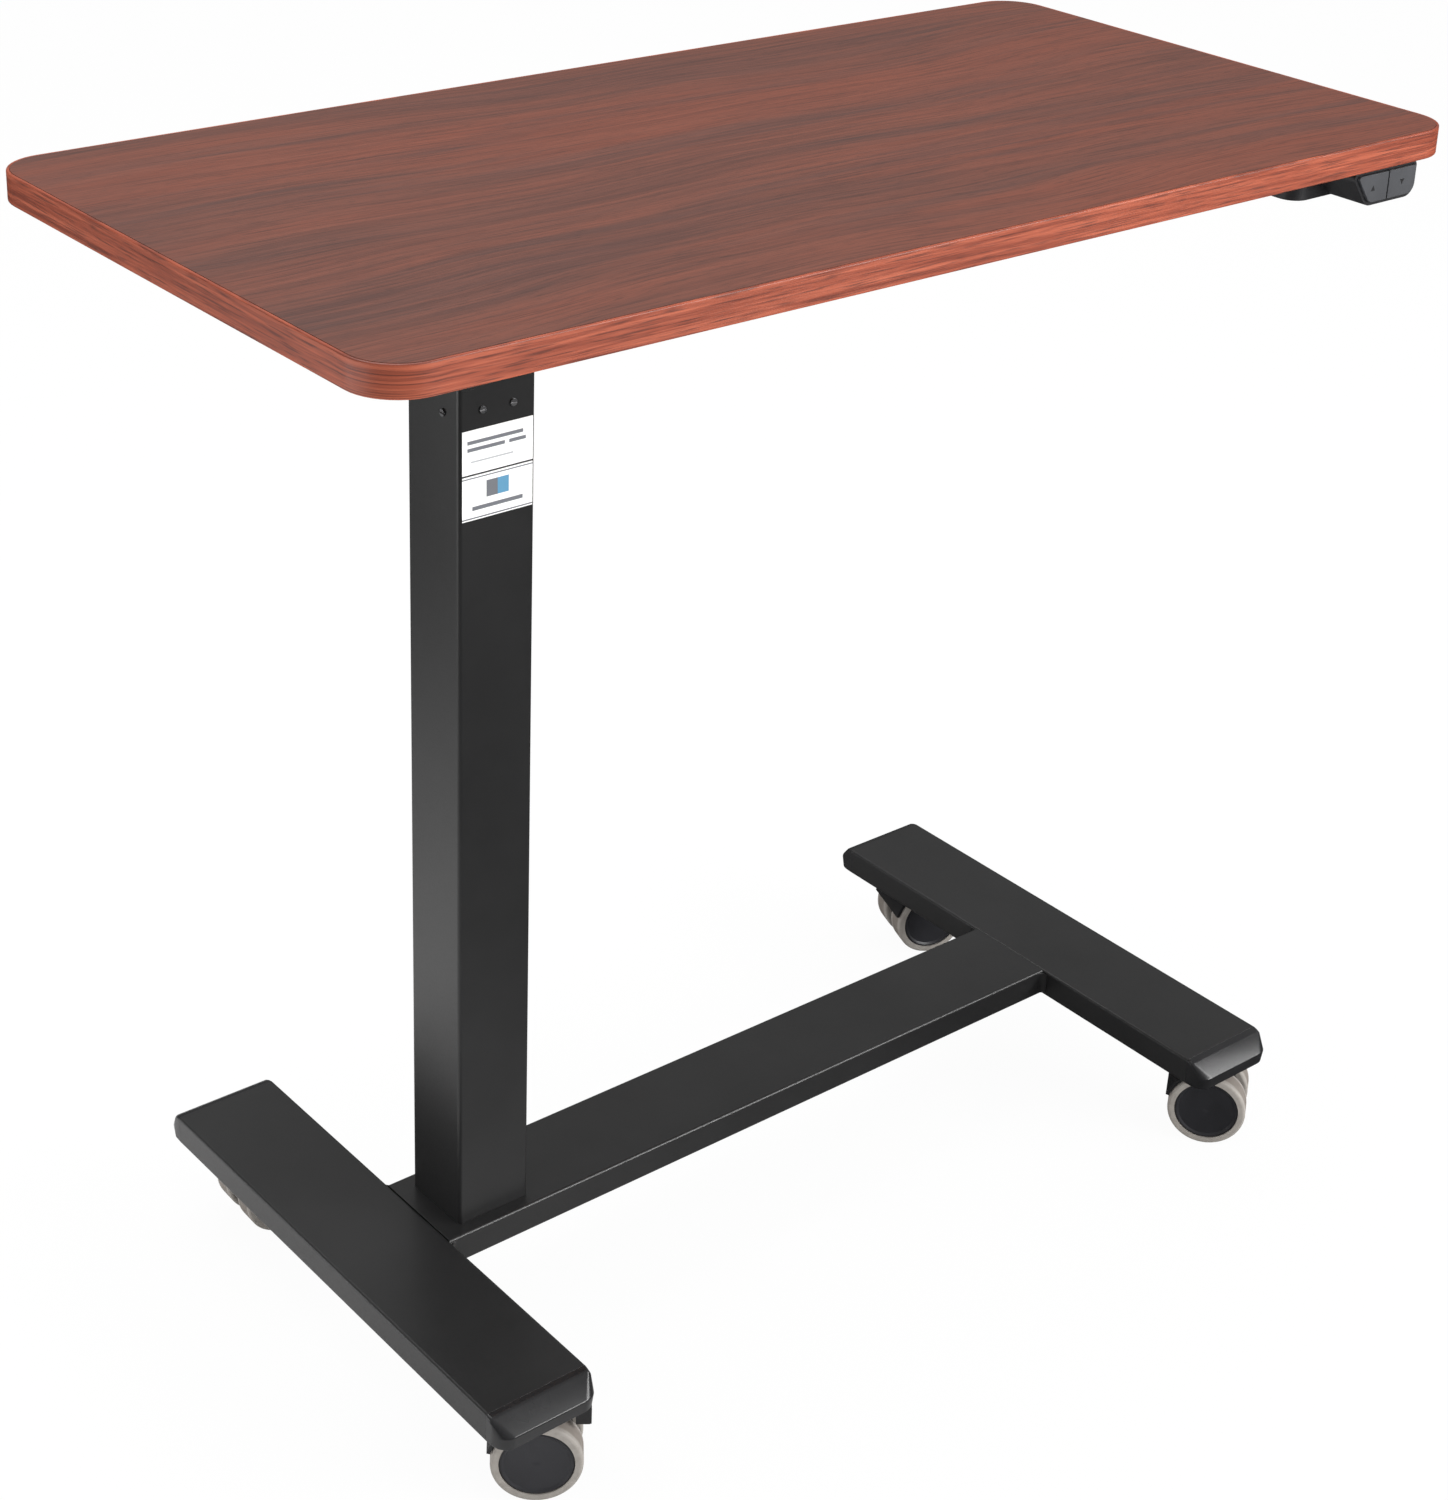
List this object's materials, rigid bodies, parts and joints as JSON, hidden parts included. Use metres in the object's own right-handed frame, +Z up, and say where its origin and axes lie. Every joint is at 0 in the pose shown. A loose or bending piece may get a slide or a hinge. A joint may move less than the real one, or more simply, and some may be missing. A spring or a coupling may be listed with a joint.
{
  "type": "overbed table",
  "caption": "Electric overbed table with a rounded woodgrain top cantilevered on a telescopic lifting column, a wheeled H-shaped base with brake pedals, and an up-down handset.",
  "frame": {"origin": "on the floor under the centre of the tabletop, at the lowest setting", "axes": "+X along the tabletop towards the handset end, +Y away from the handset's edge, +Z up"},
  "size_m": [0.8, 0.4, 0.74],
  "materials": {
    "black_steel": "satin black powder coat",
    "grey_steel": "satin dark grey powder coat",
    "cap_plastic": "semi-gloss black moulding",
    "plated_steel": "zinc plated",
    "ground_steel": "ground and oiled",
    "motor_steel": "grey painted can",
    "cast_alloy": "cast and machined",
    "bronze": "sintered, oil filled",
    "glide_plastic": "moulded",
    "nut_plastic": "natural moulding",
    "gear_plastic": "natural moulding",
    "label_film": "printed film",
    "board_core": "fibreboard",
    "laminate": "satin dark red-brown woodgrain laminate",
    "edge_strip": "woodgrain printed edge band",
    "black_plastic": "fine textured moulding",
    "button_plastic": "smooth moulding",
    "circuit_laminate": "solder mask",
    "cable_jacket": "satin sheath",
    "castor_plastic": "glass filled nylon",
    "hub_plastic": "moulded",
    "tyre_rubber": "taupe grey tread"
  },
  "bodies": {
    "base": {"foot_left": "black_steel", "foot_right": "black_steel", "foot_end_caps": "cap_plastic", "base_beam": "black_steel", "castor_sockets": "plated_steel", "outer_tube": "black_steel", "outer_glide": "glide_plastic", "nut_tube": "plated_steel", "spindle_nut": "nut_plastic", "base_fasteners": "plated_steel", "column_labels": "label_film"},
    "lift": {"inner_tube": "grey_steel", "inner_glide": "glide_plastic", "column_head_plate": "black_steel", "top_frame": "black_steel", "tabletop_board": "board_core", "top_laminate": "laminate", "edge_band": "edge_strip", "lift_fasteners": "plated_steel", "motor_can": "motor_steel", "gear_housing": "cast_alloy", "spindle_bearing": "bronze", "control_box": "black_plastic", "circuit_board": "circuit_laminate", "handset_housing": "black_plastic", "cables": "cable_jacket"},
    "spindle": {"spindle": "ground_steel", "planet_carrier": "ground_steel"},
    "motor_rotor": {"motor_rotor": "ground_steel"},
    "planet_gear_a": {"planet_gear_a": "gear_plastic"},
    "planet_gear_b": {"planet_gear_b": "gear_plastic"},
    "planet_gear_c": {"planet_gear_c": "gear_plastic"},
    "up_button": {"button_up": "button_plastic"},
    "down_button": {"button_down": "button_plastic"},
    "left_front_castor": {"left_front_castor_fork": "castor_plastic", "left_front_castor_pins": "plated_steel"},
    "left_front_wheel_a": {"left_front_hub_a": "hub_plastic", "left_front_tyre_a": "tyre_rubber"},
    "left_front_wheel_b": {"left_front_hub_b": "hub_plastic", "left_front_tyre_b": "tyre_rubber"},
    "left_front_pedal": {"left_front_brake_pedal": "castor_plastic"},
    "left_rear_castor": {"left_rear_castor_fork": "castor_plastic", "left_rear_castor_pins": "plated_steel"},
    "left_rear_wheel_a": {"left_rear_hub_a": "hub_plastic", "left_rear_tyre_a": "tyre_rubber"},
    "left_rear_wheel_b": {"left_rear_hub_b": "hub_plastic", "left_rear_tyre_b": "tyre_rubber"},
    "left_rear_pedal": {"left_rear_brake_pedal": "castor_plastic"},
    "right_front_castor": {"right_front_castor_fork": "castor_plastic", "right_front_castor_pins": "plated_steel"},
    "right_front_wheel_a": {"right_front_hub_a": "hub_plastic", "right_front_tyre_a": "tyre_rubber"},
    "right_front_wheel_b": {"right_front_hub_b": "hub_plastic", "right_front_tyre_b": "tyre_rubber"},
    "right_rear_castor": {"right_rear_castor_fork": "castor_plastic", "right_rear_castor_pins": "plated_steel"},
    "right_rear_wheel_a": {"right_rear_hub_a": "hub_plastic", "right_rear_tyre_a": "tyre_rubber"},
    "right_rear_wheel_b": {"right_rear_hub_b": "hub_plastic", "right_rear_tyre_b": "tyre_rubber"}
  },
  "joints": [
    {"name": "lift", "type": "slide", "parent": "base", "child": "lift", "axis": [0, 0, 1], "range_m": [0, 0.36]},
    {"name": "spindle_turn", "type": "hinge", "parent": "lift", "child": "spindle", "pos_m": [-0.2115, 0, 0.6], "axis": [0, 0, 1], "range_deg": [0, 12960]},
    {"name": "rotor_turn", "type": "hinge", "parent": "lift", "child": "motor_rotor", "pos_m": [-0.2115, 0, 0.65], "axis": [0, 0, 1], "range_deg": [0, 58320]},
    {"name": "planet_a_turn", "type": "hinge", "parent": "spindle", "child": "planet_gear_a", "pos_m": [-0.20205, 0, 0.62], "axis": [0, 0, 1], "range_deg": [-36288, 0]},
    {"name": "planet_b_turn", "type": "hinge", "parent": "spindle", "child": "planet_gear_b", "pos_m": [-0.21623, 0.00818, 0.62], "axis": [0, 0, 1], "range_deg": [-36288, 0]},
    {"name": "planet_c_turn", "type": "hinge", "parent": "spindle", "child": "planet_gear_c", "pos_m": [-0.21623, -0.00818, 0.62], "axis": [0, 0, 1], "range_deg": [-36288, 0]},
    {"name": "up_press", "type": "slide", "parent": "lift", "child": "up_button", "axis": [0, 1, 0], "range_m": [0, 0.0015], "stiffness_N_per_m": 400},
    {"name": "down_press", "type": "slide", "parent": "lift", "child": "down_button", "axis": [0, 1, 0], "range_m": [0, 0.0015], "stiffness_N_per_m": 400},
    {"name": "left_front_swivel", "type": "hinge", "parent": "base", "child": "left_front_castor", "pos_m": [-0.2845, -0.1515, 0.062], "axis": [0, 0, 1], "continuous": true},
    {"name": "left_front_wheel_a_roll", "type": "hinge", "parent": "left_front_castor", "child": "left_front_wheel_a", "pos_m": [-0.27316, -0.15971, 0.0275], "axis": [0.5864, 0.81, 0], "continuous": true},
    {"name": "left_front_wheel_b_roll", "type": "hinge", "parent": "left_front_castor", "child": "left_front_wheel_b", "pos_m": [-0.27316, -0.15971, 0.0275], "axis": [0.5864, 0.81, 0], "continuous": true},
    {"name": "left_front_brake", "type": "hinge", "parent": "left_front_castor", "child": "left_front_pedal", "pos_m": [-0.27073, -0.16147, 0.058], "axis": [0.5864, 0.81, 0], "range_deg": [0, 9]},
    {"name": "left_rear_swivel", "type": "hinge", "parent": "base", "child": "left_rear_castor", "pos_m": [-0.2845, 0.1515, 0.062], "axis": [0, 0, 1], "continuous": true},
    {"name": "left_rear_wheel_a_roll", "type": "hinge", "parent": "left_rear_castor", "child": "left_rear_wheel_a", "pos_m": [-0.27051, 0.15101, 0.0275], "axis": [0.0349, 0.9994, 0], "continuous": true},
    {"name": "left_rear_wheel_b_roll", "type": "hinge", "parent": "left_rear_castor", "child": "left_rear_wheel_b", "pos_m": [-0.27051, 0.15101, 0.0275], "axis": [0.0349, 0.9994, 0], "continuous": true},
    {"name": "left_rear_brake", "type": "hinge", "parent": "left_rear_castor", "child": "left_rear_pedal", "pos_m": [-0.26751, 0.15091, 0.058], "axis": [0.0349, 0.9994, 0], "range_deg": [0, 9]},
    {"name": "right_front_swivel", "type": "hinge", "parent": "base", "child": "right_front_castor", "pos_m": [0.3075, -0.1515, 0.062], "axis": [0, 0, 1], "continuous": true},
    {"name": "right_front_wheel_a_roll", "type": "hinge", "parent": "right_front_castor", "child": "right_front_wheel_a", "pos_m": [0.3161, -0.16255, 0.0275], "axis": [0.7891, 0.6143, 0], "continuous": true},
    {"name": "right_front_wheel_b_roll", "type": "hinge", "parent": "right_front_castor", "child": "right_front_wheel_b", "pos_m": [0.3161, -0.16255, 0.0275], "axis": [0.7891, 0.6143, 0], "continuous": true},
    {"name": "right_rear_swivel", "type": "hinge", "parent": "base", "child": "right_rear_castor", "pos_m": [0.3075, 0.1515, 0.062], "axis": [0, 0, 1], "continuous": true},
    {"name": "right_rear_wheel_a_roll", "type": "hinge", "parent": "right_rear_castor", "child": "right_rear_wheel_a", "pos_m": [0.32066, 0.14671, 0.0275], "axis": [0.342, 0.9397, 0], "continuous": true},
    {"name": "right_rear_wheel_b_roll", "type": "hinge", "parent": "right_rear_castor", "child": "right_rear_wheel_b", "pos_m": [0.32066, 0.14671, 0.0275], "axis": [0.342, 0.9397, 0], "continuous": true}
  ],
  "couplings": [
    {"joint": "spindle_turn", "follows": "lift", "rad_per_m": 628.32},
    {"joint": "rotor_turn", "follows": "lift", "rad_per_m": 2827.4},
    {"joint": "planet_a_turn", "follows": "lift", "rad_per_m": -1759.3},
    {"joint": "planet_b_turn", "follows": "lift", "rad_per_m": -1759.3},
    {"joint": "planet_c_turn", "follows": "lift", "rad_per_m": -1759.3}
  ]
}
